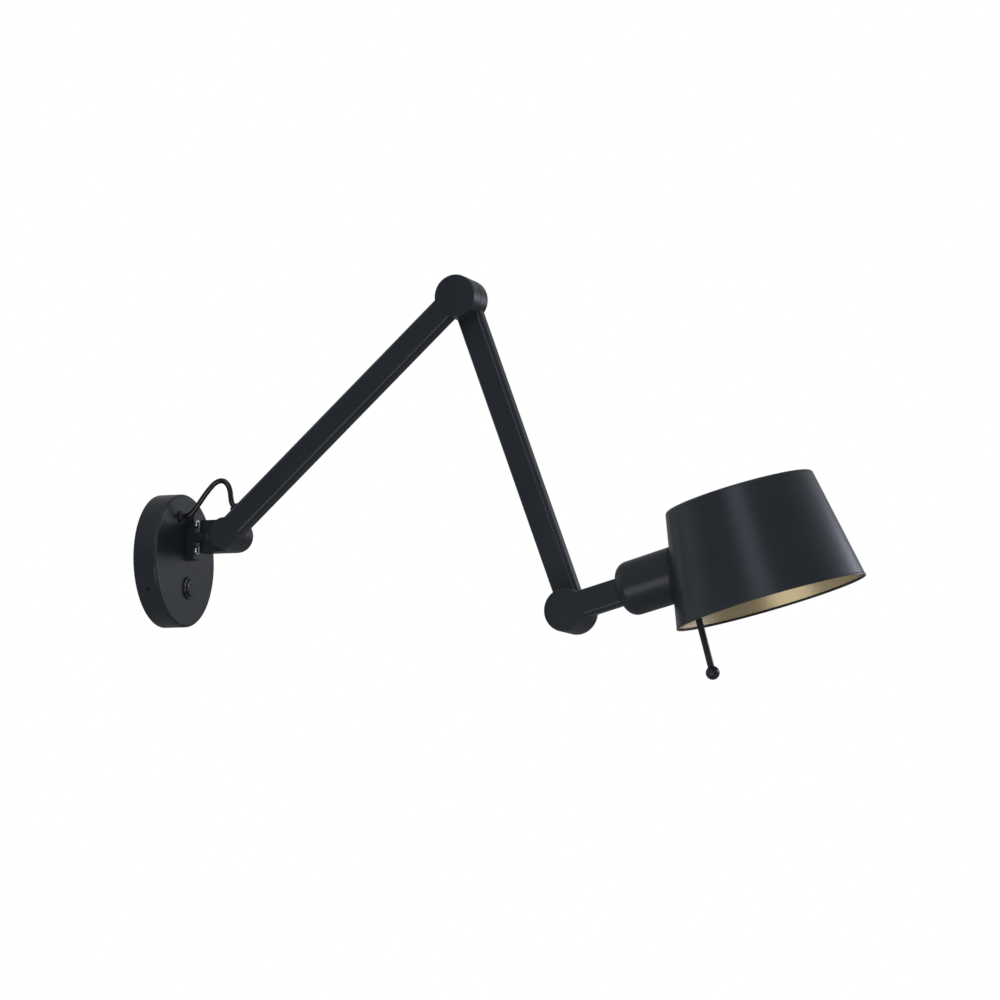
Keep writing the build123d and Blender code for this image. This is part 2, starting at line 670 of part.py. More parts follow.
elbow_front = moved(arm_1_plane, ARM_LENGTH)
INNER_WIDTH = ARM_WIDTH - 2 * TUBE_WALL
INNER_EDGE_R = ARM_EDGE_R - TUBE_WALL
with BuildPart() as arm_1:
    add(hub_end(arm_1_plane, SMALL_HUB_R))
    add(hub_end(elbow_front, HUB_R))
    bar(arm_1_plane, ARM_LENGTH, ARM_WIDTH, ARM_INNER_FACE, HUB_OUT, ARM_EDGE_R)
    boss_hub_hollow(arm_1_plane, SMALL_HUB_R)
    boss_hub_hollow(elbow_front, HUB_R)
    bar(
        arm_1_plane,
        ARM_LENGTH - BOSS_R - 2.0,
        INNER_WIDTH,
        ARM_INNER_FACE + TUBE_WALL,
        HUB_OUT - TUBE_WALL,
        INNER_EDGE_R,
        start=BOSS_R + 2.0,
        mode=Mode.SUBTRACT,
    )
    grommet_axis = Plane(
        origin=arm_1_plane.from_local_coords(Vector(GROMMET_U, ARM_TOP, LAYER_MID)),
        x_dir=FRONT,
        z_dir=GROMMET_OUT,
    )
    disc(grommet_axis, -TUBE_WALL, 1.0, GROMMET_NECK_R, Mode.SUBTRACT)
save(arm_1, "arm_1")

with BuildPart() as arm_1_grommet:
    disc(grommet_axis, -TUBE_WALL, 0, GROMMET_NECK_R)
    disc(grommet_axis, -0.3, GROMMET_T, GROMMET_R)
    rim = arm_1_grommet.edges().filter_by(GeomType.CIRCLE)
    fillet(rim.sort_by(Axis(grommet_axis.origin, grommet_axis.z_dir))[-1], 0.8)
    disc(grommet_axis, -TUBE_WALL - 1.2, -TUBE_WALL, GROMMET_NECK_R + 0.8)
    disc(grommet_axis, -5, 5, CORD_R, Mode.SUBTRACT)
    add(arm_1.part, mode=Mode.SUBTRACT)
save(arm_1_grommet, "arm_1_grommet")


arm_1_lead = lead(
    arm_1_plane,
    [
        (GROMMET_U, ARM_TOP + GROMMET_T, LAYER_MID),
        (GROMMET_U, 0, LAYER_MID),
        (ARM_LENGTH - LEAD_OFFSET, 0, LAYER_MID),
        (ARM_LENGTH - LEAD_OFFSET, 0, HUB_FACE),
    ],
    [7.5, 4.0],
)
save(arm_1_lead, "arm_1_lead")

wall_pivot_bolt = hub_bolt(arm_1_plane)
save(wall_pivot_bolt, "wall_pivot_bolt")
wall_pivot_friction_washer = friction_washer(arm_1_plane, SMALL_HUB_R)
save(wall_pivot_friction_washer, "wall_pivot_friction_washer")
wall_pivot_spring_washer = spring_washer(arm_1_plane)
save(wall_pivot_spring_washer, "wall_pivot_spring_washer")
elbow_bolt = hub_bolt(elbow_front)
save(elbow_bolt, "elbow_bolt")
elbow_friction_washer = friction_washer(elbow_front, HUB_R)
save(elbow_friction_washer, "elbow_friction_washer")
elbow_spring_washer = spring_washer(elbow_front)
save(elbow_spring_washer, "elbow_spring_washer")

# ---- arm 2 ----------------------------------------------------------------------------------------------

head_rear = moved(arm_2_plane, ARM_LENGTH)
LEAD_SLOT_R = 3.2
LEAD_SLOT_TURN = 60.0


def lead_slot(plane, facing):
    """Curved slot in a rear hub's floor, so that the lead can follow the joint."""
    with BuildSketch(plane) as profile:
        with BuildLine():
            middle = CenterArc((0, 0), LEAD_OFFSET, facing - LEAD_SLOT_TURN, 2 * LEAD_SLOT_TURN)
        SlotArc(middle, 2 * LEAD_SLOT_R)
    extrude(profile.sketch, amount=HUB_FACE + HUB_FLOOR, mode=Mode.SUBTRACT)


with BuildPart() as arm_2:
    add(hub_end(arm_2_plane, HUB_R))
    add(hub_end(head_rear, HUB_R))
    bar(arm_2_plane, ARM_LENGTH, ARM_WIDTH, ARM_INNER_FACE, HUB_OUT, ARM_EDGE_R)
    bar(
        arm_2_plane,
        ARM_LENGTH - BOSS_R - 2.0,
        INNER_WIDTH,
        ARM_INNER_FACE + TUBE_WALL,
        HUB_OUT - TUBE_WALL,
        INNER_EDGE_R,
        start=BOSS_R + 2.0,
        mode=Mode.SUBTRACT,
    )
    for hub in (arm_2_plane, head_rear):
        floor_hub_hollow(hub, HUB_R)
    lead_slot(arm_2_plane, 0)
    lead_slot(head_rear, 180)
save(arm_2, "arm_2")

arm_2_lead = lead(
    arm_2_plane,
    [
        (LEAD_OFFSET, 0, HUB_FACE),
        (LEAD_OFFSET, 0, LAYER_MID),
        (ARM_LENGTH - LEAD_OFFSET, 0, LAYER_MID),
        (ARM_LENGTH - LEAD_OFFSET, 0, HUB_FACE),
    ],
    [4.0, 4.0],
)
save(arm_2_lead, "arm_2_lead")
elbow_cap = hub_cap(arm_2_plane, HUB_R)
save(elbow_cap, "elbow_cap")
head_pivot_cap = hub_cap(head_rear, HUB_R)
save(head_pivot_cap, "head_pivot_cap")

# ---- head stub ------------------------------------------------------------------------------------------

with BuildPart() as head_stub:
    add(hub_end(stub_plane, HUB_R))
    bar(stub_plane, STUB_END, STUB_WIDTH, ARM_INNER_FACE, HUB_OUT, ARM_EDGE_R, rise=CUP_OFFSET)
    boss_hub_hollow(stub_plane, HUB_R)
    bar(
        stub_plane,
        STUB_END - 3.6,
        STUB_WIDTH - 2 * TUBE_WALL,
        ARM_INNER_FACE + TUBE_WALL,
        HUB_OUT - TUBE_WALL,
        INNER_EDGE_R,
        rise=CUP_OFFSET,
        start=BOSS_R + 2.0,
        mode=Mode.SUBTRACT,
    )
    disc(cup_plane, STUB_END - 6.0, STUB_END, NIPPLE_R + RUN_FIT, Mode.SUBTRACT)
save(head_stub, "head_stub")

head_lead = lead(
    stub_plane,
    [
        (LEAD_OFFSET, CUP_OFFSET, HUB_FACE),
        (LEAD_OFFSET, CUP_OFFSET, LAYER_MID),
        (STUB_END - 14.0, CUP_OFFSET, LAYER_MID),
    ],
    [4.0],
)
save(head_lead, "head_lead")
head_pivot_bolt = hub_bolt(stub_plane)
save(head_pivot_bolt, "head_pivot_bolt")
head_pivot_friction_washer = friction_washer(stub_plane, HUB_R)
save(head_pivot_friction_washer, "head_pivot_friction_washer")
head_pivot_spring_washer = spring_washer(stub_plane)
save(head_pivot_spring_washer, "head_pivot_spring_washer")

# ---- cup and its fixing -----------------------------------------------------------------------------------

NUT_S = STUB_END - 9.6
with BuildPart() as cup_nipple:
    ring(cup_plane, NUT_S - 1.5, 74.0, NIPPLE_R, NIPPLE_BORE_R)
save(cup_nipple, "cup_nipple")

with BuildPart() as nipple_nut:
    hexagon(cup_plane, NUT_S, NUT_S + 4.0, 5.8)
    disc(cup_plane, NUT_S, NUT_S + 4.0, NIPPLE_R, Mode.SUBTRACT)
save(nipple_nut, "nipple_nut")

with BuildPart() as nipple_spring_washer:
    ring(cup_plane, NUT_S + 4.0, STUB_END - 3.6 - RUN_FIT, 5.7, NIPPLE_R)
save(nipple_spring_washer, "nipple_spring_washer")

with BuildPart() as turn_washer:
    ring(cup_plane, STUB_END + RUN_FIT, CUP_START, 10.0, NIPPLE_R)
save(turn_washer, "turn_washer")


SHADE_AXIS = Axis(SHADE_TOP, ROLLED_DOWN)
SHADE_SLOPE = (SHADE_BOTTOM_R - SHADE_TOP_R) / SHADE_HEIGHT


def shade_cone(grow, beyond):
    """The shade's outer cone, grown along its normal and run on past its top and bottom."""
    wider = grow * sqrt(1 + SHADE_SLOPE**2)
    with BuildPart() as cone:
        with BuildSketch(shade_section):
            with BuildLine():
                Polyline(
                    (0, -beyond),
                    (SHADE_TOP_R + wider - SHADE_SLOPE * beyond, -beyond),
                    (SHADE_BOTTOM_R + wider + SHADE_SLOPE * beyond, SHADE_HEIGHT + beyond),
                    (0, SHADE_HEIGHT + beyond),
                    close=True,
                )
            make_face()
        revolve(axis=SHADE_AXIS)
    return cone.part


gasket_cone = shade_cone(GASKET_T, 30.0)
outer_cone = shade_cone(0.0, 30.0)
inner_cone = shade_cone(-SHADE_WALL, 30.0)

CUP_SECTION = Plane(origin=CUP_ORIGIN, x_dir=CUP_AXIS, z_dir=(0, -1, 0))
CUP_RUN = 66.0
with BuildPart() as lamp_cup:
    with BuildSketch(CUP_SECTION):
        with BuildLine():
            Polyline(
                (CUP_START, 0),
                (CUP_START, CUP_R - CUP_TAPER),
                (CUP_START + CUP_RUN, CUP_R + CUP_TAPER),
                (CUP_START + CUP_RUN, 0),
                close=True,
            )
        make_face()
    revolve(axis=HEAD_AXIS)
    fillet(lamp_cup.edges().filter_by(GeomType.CIRCLE).sort_by(HEAD_AXIS)[0], CUP_BACK_R)
    offset(
        amount=-CUP_WALL,
        openings=lamp_cup.faces().filter_by(GeomType.PLANE).sort_by(HEAD_AXIS)[-1],
    )
    disc(cup_plane, CUP_START - 1, CUP_START + 4, NIPPLE_R, Mode.SUBTRACT)
    add(gasket_cone, mode=Mode.SUBTRACT)
save(lamp_cup, "lamp_cup")

with BuildPart() as cup_nut:
    hexagon(cup_plane, CUP_START + CUP_WALL, CUP_START + CUP_WALL + 4.0, 8.0)
    disc(cup_plane, CUP_START, CUP_START + 10, NIPPLE_R, Mode.SUBTRACT)
save(cup_nut, "cup_nut")

# ---- shade ------------------------------------------------------------------------------------------------

with BuildPart() as shade:
    with BuildSketch(shade_section):
        with BuildLine():
            Polyline(
                (0, 0),
                (SHADE_TOP_R, 0),
                (SHADE_BOTTOM_R, SHADE_HEIGHT),
                (0, SHADE_HEIGHT),
                close=True,
            )
        make_face()
    revolve(axis=SHADE_AXIS)
    fillet(shade.edges().filter_by(GeomType.CIRCLE).sort_by(SHADE_AXIS)[0], SHADE_TOP_EDGE_R)
    offset(
        amount=-SHADE_WALL,
        openings=shade.faces().filter_by(GeomType.PLANE).sort_by(SHADE_AXIS)[-1],
    )
    with BuildSketch(shade_section):
        with Locations((SHADE_BOTTOM_R - SHADE_RIM_R, SHADE_HEIGHT - SHADE_RIM_R)):
            Circle(SHADE_RIM_R)
    revolve(axis=SHADE_AXIS)
    disc(cup_plane, SHADE_S - SHADE_BOTTOM_R - 10, SHADE_S - 30, HOLDER_HOLE_R, Mode.SUBTRACT)
save(shade, "shade")

with BuildPart() as shade_gasket:
    ring(cup_plane, 80, 130, CUP_R, HOLDER_HOLE_R)
    add(gasket_cone, mode=Mode.INTERSECT)
    add(outer_cone, mode=Mode.SUBTRACT)
save(shade_gasket, "shade_gasket")

RING_S = 109.0
RING_T = 9.0
with BuildPart() as shade_spacer:
    ring(cup_plane, 80, RING_S, HOLDER_R + 3.4, HOLDER_HOLE_R)
    add(inner_cone, mode=Mode.INTERSECT)
save(shade_spacer, "shade_spacer")

with BuildPart() as shade_ring:
    ring(cup_plane, RING_S, RING_S + RING_T, HOLDER_R + 3.4, HOLDER_R)
    front_edges = shade_ring.edges().filter_by(GeomType.CIRCLE).group_by(HEAD_AXIS)[-1]
    chamfer(front_edges.sort_by(SortBy.RADIUS)[-1], 0.8)
    disc(rod_plane, HOLDER_R - 2, HOLDER_R + 6, ROD_R, Mode.SUBTRACT)
save(shade_ring, "shade_ring")

# ---- lampholder -------------------------------------------------------------------------------------------

HOLDER_BACK = 62.0
CONTACT_FLOOR = 97.0
CONTACT_R = 3.0
SHELL_START = 100.0
SHELL_WALL = 0.9
with BuildPart() as lampholder_body:
    disc(cup_plane, HOLDER_BACK, HOLDER_MOUTH, HOLDER_R)
    fillet(lampholder_body.edges().filter_by(GeomType.CIRCLE).sort_by(HEAD_AXIS)[0], 5.0)
    disc(cup_plane, CONTACT_FLOOR, HOLDER_MOUTH, THREAD_R + SHELL_WALL, Mode.SUBTRACT)
    disc(cup_plane, HOLDER_BACK, 74.0, NIPPLE_R, Mode.SUBTRACT)
    disc(cup_plane, 74.0, 86.0, 6.0, Mode.SUBTRACT)
save(lampholder_body, "lampholder_body")

with BuildPart() as lampholder_shell:
    ring(cup_plane, SHELL_START, HOLDER_MOUTH - 1.0, THREAD_R + SHELL_WALL, THREAD_R)
save(lampholder_shell, "lampholder_shell")

with BuildPart() as lampholder_contacts:
    with BuildSketch(cup_plane.offset(CONTACT_FLOOR)):
        Rectangle(20.0, 5.0)
    extrude(amount=0.5)
    disc(cup_plane, CONTACT_FLOOR, CONTACT_FLOOR + 2.0, CONTACT_R)
save(lampholder_contacts, "lampholder_contacts")

# ---- handle -----------------------------------------------------------------------------------------------

with BuildPart() as handle_rod:
    disc(rod_plane, HOLDER_R, BALL_W - 1.0, ROD_R)
save(handle_rod, "handle_rod")

with BuildPart() as handle_ball:
    with Locations(rod_plane.origin + DOWN * BALL_W):
        Sphere(BALL_R)
    disc(rod_plane, BALL_W - BALL_R - 1, BALL_W - 1.0, ROD_R, Mode.SUBTRACT)
save(handle_ball, "handle_ball")
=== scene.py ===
# %% [markdown]
# # An articulating wall lamp
#
# The lamp is already built as solids: a round canopy, an upright swivel, two arms, a stub, a
# cup and a shade. This file dresses it. Every length below is in metres, +X points out of the
# wall and +Z points up, so a piece goes where the construction says and nothing is fitted.
# The solids are loaded first, because every later step measures itself against them.

# %% Load the solids
import json
from math import pi, radians, tau

import bmesh
import bpy
from mathutils import Matrix, Vector


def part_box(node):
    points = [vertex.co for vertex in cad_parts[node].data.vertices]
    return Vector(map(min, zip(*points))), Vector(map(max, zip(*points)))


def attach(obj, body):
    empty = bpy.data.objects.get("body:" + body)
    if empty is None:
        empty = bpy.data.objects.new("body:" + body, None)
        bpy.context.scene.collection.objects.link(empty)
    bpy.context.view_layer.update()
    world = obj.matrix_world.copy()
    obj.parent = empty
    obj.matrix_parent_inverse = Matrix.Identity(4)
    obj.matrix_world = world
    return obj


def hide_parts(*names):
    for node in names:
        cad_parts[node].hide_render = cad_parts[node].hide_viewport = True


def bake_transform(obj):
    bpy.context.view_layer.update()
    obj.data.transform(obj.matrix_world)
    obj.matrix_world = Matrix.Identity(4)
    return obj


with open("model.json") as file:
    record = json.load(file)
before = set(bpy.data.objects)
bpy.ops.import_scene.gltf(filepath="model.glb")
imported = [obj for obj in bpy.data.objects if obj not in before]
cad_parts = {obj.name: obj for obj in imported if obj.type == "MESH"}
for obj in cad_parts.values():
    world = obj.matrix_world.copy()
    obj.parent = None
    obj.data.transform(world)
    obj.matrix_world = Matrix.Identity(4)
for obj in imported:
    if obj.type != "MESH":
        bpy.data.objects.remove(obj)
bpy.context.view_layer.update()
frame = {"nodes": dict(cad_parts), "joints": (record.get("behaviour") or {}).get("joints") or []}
MM = 0.001
joints = {joint["name"]: joint for joint in frame["joints"]}
print("solids:", len(frame["nodes"]), "joints:", sorted(joints))

# %% [markdown]
# ## The camera
#
# A product photograph like this is taken from a few metres away with a long lens, so that both
# arms keep their true proportions. The camera stands a little below the lamp and looks up at
# it, which shows the gold lining through the open bottom of the shade. We place it by its real
# position and its axes, because a real distance is what keeps the perspective right.

# %% Camera
CAMERA_AT = Vector((1.6271, -3.2298, -0.3930))
CAMERA_RIGHT = Vector((0.9281, 0.3722, 0.0101))
CAMERA_BACK = Vector((0.3705, -0.9204, -0.1245))
LENS = 144.44
SENSOR = 36.0

back = CAMERA_BACK.normalized()
right = (CAMERA_RIGHT - back * CAMERA_RIGHT.dot(back)).normalized()
camera_turn = Matrix((right, back.cross(right), back)).transposed().to_4x4()
camera_data = bpy.data.cameras.new("camera")
camera_data.sensor_width = SENSOR
camera_data.lens = LENS
camera = bpy.data.objects.new("camera", camera_data)
camera.matrix_world = Matrix.Translation(CAMERA_AT) @ camera_turn
bpy.context.collection.objects.link(camera)
bpy.context.scene.camera = camera
print("camera", round(CAMERA_AT.length, 2), "m away, lens", LENS, "mm")

# %% [markdown]
# ## The cord's route
#
# A short round cord leaves the gland on the canopy, makes one loop in the air and goes down
# through a grommet into the first arm. It is 4.8 mm thick and of medium stiffness, and both its
# ends go into the lamp. A NURBS curve of order 3 bends evenly between listed points. The
# order and the end setting are given after the points, because adding points resets them.

# %% Cord route
CORD_D = 4.8 * MM
CORD_STEPS = 12
CORD_ROUTE_MM = [
    (26.0, -11.9, 38.9), (30.7, -11.9, 38.9), (35.2, -11.7, 43.2), (39.9, -11.5, 49.6),
    (46.8, -11.1, 59.2), (53.7, -10.6, 67.1), (58.9, -10.3, 70.0), (64.0, -10.0, 69.8),
    (67.8, -9.7, 66.2), (69.9, -9.4, 60.6), (70.6, -9.2, 54.6), (71.51, -9.0, 48.89),
    (73.67, -9.0, 46.53),
]
curve = bpy.data.curves.new("cord_route", "CURVE")
curve.dimensions = "3D"
curve.resolution_u = CORD_STEPS
spline = curve.splines.new("NURBS")
spline.points.add(len(CORD_ROUTE_MM) - 1)
for point, place in zip(spline.points, CORD_ROUTE_MM):
    point.co = (*(Vector(place) * MM), 1)
spline.order_u = 3
spline.use_endpoint_u = True
route_object = bpy.data.objects.new("cord_route", curve)
route_mesh = bpy.data.meshes.new_from_object(route_object)
route = [vertex.co.copy() for vertex in route_mesh.vertices]
bpy.data.objects.remove(route_object)
bpy.data.meshes.remove(route_mesh)


def length_of(points):
    """Length along a row of points."""
    return sum((b - a).length for a, b in zip(points, points[1:]))


print("cord", len(route), "points,", round(length_of(route) / MM, 1), "mm long")

# %% [markdown]
# ## The cord itself
#
# The cord is a tube along that route. A frame of two side directions is carried from ring to
# ring, turned only as much as the route turns, so the tube never twists. Its UV map runs once
# round it and, in metres, along it, so that its skin can have fine lines that follow it.
#
# Two joints move it: the swivel turns its top, and the first pivot lifts its far end. So it is
# made as two halves that meet halfway. The two bodies at each half's ends are listed but not used.

# %% Cord halves
CORD_SIDES = 28


def cord_tube(name, points):
    """A closed tube along points, with a UV map that follows it."""
    bm = bmesh.new()
    uv_layer = bm.loops.layers.uv.new("UVMap")
    side = Vector((0, 1, 0))
    rings, travelled = [], [0.0]
    for i, point in enumerate(points):
        ahead = (points[min(i + 1, len(points) - 1)] - points[max(i - 1, 0)]).normalized()
        side = (side - ahead * side.dot(ahead)).normalized()
        other = ahead.cross(side)
        spokes = [Matrix.Rotation(tau * k / CORD_SIDES, 3, ahead) @ side for k in range(CORD_SIDES)]
        rings.append([bm.verts.new(point + spoke * CORD_D / 2) for spoke in spokes])
        if i:
            travelled.append(travelled[-1] + (point - points[i - 1]).length)
    for i in range(len(rings) - 1):
        for k in range(CORD_SIDES):
            near, far = rings[i], rings[i + 1]
            face = bm.faces.new((near[k], near[k - 1], far[k - 1], far[k]))
            round_it = (k / CORD_SIDES, (k - 1) / CORD_SIDES, (k - 1) / CORD_SIDES, k / CORD_SIDES)
            along_it = (travelled[i], travelled[i], travelled[i + 1], travelled[i + 1])
            for loop, u, v in zip(face.loops, round_it, along_it):
                loop[uv_layer].uv = (u, v)
            face.smooth = True
    bm.faces.new(rings[0])
    bm.faces.new(reversed(rings[-1]))
    bmesh.ops.recalc_face_normals(bm, faces=bm.faces)
    mesh = bpy.data.meshes.new(name)
    bm.to_mesh(mesh)
    bm.free()
    piece = bpy.data.objects.new(name, mesh)
    bpy.context.collection.objects.link(piece)
    return piece


halfway = length_of(route) / 2
middle = min(range(len(route)), key=lambda i: abs(length_of(route[: i + 1]) - halfway))
cord_rise = cord_tube("cord_rise", route[: middle + 1])
cord_fall = cord_tube("cord_fall", route[middle:])
for piece, path, ends in (
    (cord_rise, route[: middle + 1], ("wall_plate", "yoke")),
    (cord_fall, route[middle:], ("yoke", "first_arm")),
):
    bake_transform(piece)
    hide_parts("jumper_cable")
    print(piece.name, round(length_of(path) / MM, 1), "mm")

# %% [markdown]
# ## Writing node nets as sums
#
# A material is a net of nodes. Wired one by one, such a net hides its idea, so a socket is
# wrapped in a small class: `a * b + 0.2` then adds the Math nodes for us, and `made` adds any
# other kind of node. The same class serves materials, the world and Geometry Nodes, because
# all three are nets of nodes.

# %% Socket sums


class Signal:
    """A node's output that can be used in sums."""

    def __init__(self, tree, socket):
        self.tree = tree
        self.socket = socket

    def made(self, kind, inputs=None, output=0, **settings):
        """Add any node, give it its inputs, and return one of its outputs."""
        node = self.tree.nodes.new(kind)
        for name, value in settings.items():
            setattr(node, name, value)
        for name, value in (inputs or {}).items():
            if isinstance(value, Signal):
                self.tree.links.new(value.socket, node.inputs[name])
            else:
                node.inputs[name].default_value = value
        return Signal(self.tree, node.outputs[output])

    def math(self, operation, *others):
        return self.made("ShaderNodeMath", dict(enumerate((self, *others))), operation=operation)

    def __add__(self, other):
        return self.math("ADD", other)

    def __sub__(self, other):
        return self.math("SUBTRACT", other)

    def __mul__(self, other):
        return self.math("MULTIPLY", other)

    def __truediv__(self, other):
        return self.math("DIVIDE", other)

    def __lt__(self, other):
        return self.math("LESS_THAN", other)

    def __gt__(self, other):
        return self.math("GREATER_THAN", other)

    __radd__, __rmul__ = __add__, __mul__

    def vector(self, operation, other, output="Vector"):
        """A Vector Math node; a Dot Product's number is its output "Value"."""
        return self.made("ShaderNodeVectorMath", {0: self, 1: other}, output, operation=operation)


print("socket sums ready")

# %% [markdown]
# ## The studio
#
# The lamp hangs in front of a plain white sweep. Light strong enough to make that sweep white
# would wash out the black paint, so its white is only for rays that look at it: the Light Path
# node tells camera, mirror and glass rays from the soft light that fills the room. Mirror rays
# see a small share of the white, and only behind the lamp. Everywhere else they see the grey
# room, which is darker towards the floor.

# %% World
scene = bpy.context.scene
scene.view_settings.view_transform = "Standard"
ROOM_GREY = 0.35
ROOM_COLOUR = (0.96, 0.97, 1.0, 1)
FLOOR_SIDE = 0.35
FLOOR_TO_CEILING = (-0.5, 0.6)
SWEEP_GLOSS = 0.12
SWEEP_EDGE = (0.80, 0.97)
world = bpy.data.worlds.new("studio")
scene.world = world
world.use_nodes = True
world.node_tree.nodes.clear()
ray_kinds = world.node_tree.nodes.new("ShaderNodeLightPath").outputs
ray = Signal(world.node_tree, ray_kinds["Is Camera Ray"])
glossy = Signal(ray.tree, ray_kinds["Is Glossy Ray"])
through = Signal(ray.tree, ray_kinds["Is Transmission Ray"])
direction = ray.made("ShaderNodeTexCoord", output="Generated")


def fade(towards, start, end, low=0.0, high=1.0):
    """A smooth step between two angles from a direction, given as their cosines."""
    angle = direction.vector("DOT_PRODUCT", tuple(towards), output="Value")
    inputs = {"Value": angle, "From Min": start, "From Max": end, "To Min": low, "To Max": high}
    return angle.made("ShaderNodeMapRange", inputs, interpolation_type="SMOOTHSTEP")


sweep = fade(-back, *SWEEP_EDGE)
room = fade((0, 0, 1), *FLOOR_TO_CEILING, ROOM_GREY * FLOOR_SIDE, ROOM_GREY)
white = ray.math("MAXIMUM", through).math("MAXIMUM", glossy * sweep * SWEEP_GLOSS)
grey_room = ray.made("ShaderNodeBackground", {"Color": ROOM_COLOUR, "Strength": room})
white_sweep = ray.made("ShaderNodeBackground", {"Color": (1, 1, 1, 1), "Strength": 1.0})
studio = ray.made("ShaderNodeMixShader", {0: white, 1: grey_room, 2: white_sweep})
world_out = world.node_tree.nodes.new("ShaderNodeOutputWorld")
world.node_tree.links.new(studio.socket, world_out.inputs["Surface"])
print("room grey", ROOM_GREY)

# %% [markdown]
# Five softboxes light the lamp. The key stands on the right, behind the lamp: it draws the pale
# stripe down the right of the shade and along the edges of the arms. One at the front, well
# above the camera, puts the soft highlight on the middle of the shade. A low one in front
# reaches the gold lining, one on the wall's side lights the canopy's rim, and one overhead keeps
# the tops readable.

# %% Softboxes
AIM = Vector((0.33, 0.0, 0.05))
SOFTBOXES = {
    # name: (place, size, watts, colour)
    "key_right": ((1.45, 0.78, 0.34), (1.5, 0.45), 8, (0.78, 0.82, 1.0)),
    "front": ((0.62, -2.2, 1.2), (0.95, 1.2), 9, (0.72, 0.84, 1.0)),
    "low_front": ((0.4, -1.05, -0.5), (1.3, 0.5), 4, (1.0, 1.0, 0.98)),
    "wall_side": ((-1.5, -0.1, 0.6), (2.0, 2.0), 5, (0.93, 0.96, 1.0)),
    "top": ((0.5, -0.6, 2.2), (1.4, 1.4), 5, (0.98, 0.98, 1.0)),
}


def softbox(name, place, size, watts, colour):
    """An oblong area lamp, turned to face the lamp's middle."""
    data = bpy.data.lights.new(name, "AREA")
    data.shape = "RECTANGLE"
    data.size, data.size_y = size
    data.energy = watts
    data.color = colour
    box = bpy.data.objects.new(name, data)
    box.location = place
    box.visible_camera = False
    box.rotation_euler = (AIM - Vector(place)).to_track_quat("-Z", "Y").to_euler()
    bpy.context.collection.objects.link(box)
    print(name, watts, "W")


for name, row in SOFTBOXES.items():
    softbox(name, *row)

# %% [markdown]
# ## Materials
#
# Every pattern reads Object coordinates. All pieces lie at the origin, so these are metres in
# the lamp's own space: a pattern has its true size, and it stays on its piece when a joint
# moves. A few helpers keep each recipe to the lines that make it that finish.

# %% Material helpers
NOISE_LOW, NOISE_HIGH = 0.3, 0.7
NOISE_ROUGHNESS = 0.55
FINE_DETAIL = 3.0
# A Mix node keeps one set of sockets for each data type; these are the ones for colours.
MIX_FACTOR, MIX_FIRST, MIX_SECOND, MIX_RESULT = 0, 6, 7, 2


def start_material(name):
    """A new material: itself, its main shader and the Object coordinates."""
    material = bpy.data.materials.new(name)
    material.use_nodes = True
    tree = material.node_tree
    place = Signal(tree, tree.nodes.new("ShaderNodeTexCoord").outputs["Object"])
    return material, tree.nodes["Principled BSDF"], place


def plug(shader, **signals):
    """Join signals to a shader's sockets, as in Base_Color=colour."""
    for name, signal in signals.items():
        signal.tree.links.new(signal.socket, shader.inputs[name.replace("_", " ")])


def settle(shader, **values):
    """Write plain numbers on a shader's sockets, as in Coat_IOR=1.5."""
    for name, value in values.items():
        shader.inputs[name.replace("_", " ")].default_value = value


def noise(place, size, detail=2.0):
    """Soft noise whose features have a real size in metres, from about 0.3 to 0.7."""
    inputs = {"Vector": place, "Scale": 1 / size, "Detail": detail, "Roughness": NOISE_ROUGHNESS}
    return place.made("ShaderNodeTexNoise", inputs, "Fac")


def tint(amount, dark, pale):
    """A colour between two, by a noise signal."""
    ramp = amount.made("ShaderNodeValToRGB", {"Fac": amount}, "Color")
    first, last = ramp.socket.node.color_ramp.elements
    first.position, first.color = NOISE_LOW, (*dark, 1)
    last.position, last.color = NOISE_HIGH, (*pale, 1)
    return ramp


def either(mask, first, second):
    """The first colour where the mask is 0 and the second where it is 1."""
    inputs = {MIX_FACTOR: mask, MIX_FIRST: first, MIX_SECOND: second}
    return mask.made("ShaderNodeMix", inputs, MIX_RESULT, data_type="RGBA")


def bump(shader, height, depth, strength=1.0):
    """Bump from a height signal, with its real depth in metres."""
    inputs = {"Height": height, "Distance": depth, "Strength": strength}
    plug(shader, Normal=height.made("ShaderNodeBump", inputs, "Normal"))


print("material helpers ready")

# %% [markdown]
# ### Powder coat
#
# The canopy, the arms and the cup are steel under black powder coat. Powder melts into a skin
# with a very fine orange peel, about a millimetre across and a few hundredths deep. It is never
# quite one colour, so it drifts over centimetres, and its roughness follows a finer noise that
# gives the highlights a grain. One flat black with a low roughness would look like lacquer. The
# coat's skin is a helper of its own, because the shade has the same one over two colours.

# %% Powder coat
PAINT_DARK = (0.0125, 0.0158, 0.0200)
PAINT_PALE = (0.0160, 0.0198, 0.0246)
PAINT_DRIFT = 45 * MM
PAINT_GRAIN = 4 * MM
PAINT_ROUGHNESS = 0.25
PAINT_SPECULAR = 0.34
PEEL = 1.1 * MM
PEEL_DEPTH = 0.03 * MM
PEEL_STRENGTH = 0.5


def coat_skin(shader, place):
    """Give a shader the coat's gloss and orange peel; return the slow drift for its colour."""
    drift, grain = noise(place, PAINT_DRIFT), noise(place, PAINT_GRAIN, FINE_DETAIL)
    plug(shader, Roughness=grain * 0.10 + drift * 0.05 + PAINT_ROUGHNESS)
    settle(shader, Specular_IOR_Level=PAINT_SPECULAR)
    bump(shader, noise(place, PEEL), PEEL_DEPTH, PEEL_STRENGTH)
    return drift


def powder_coat():
    material, shader, place = start_material("black_powder_coat")
    drift = coat_skin(shader, place)
    plug(shader, Base_Color=tint(drift, PAINT_DARK, PAINT_PALE))
    return material


black_paint = powder_coat()
print("paint between", PAINT_DARK, "and", PAINT_PALE)

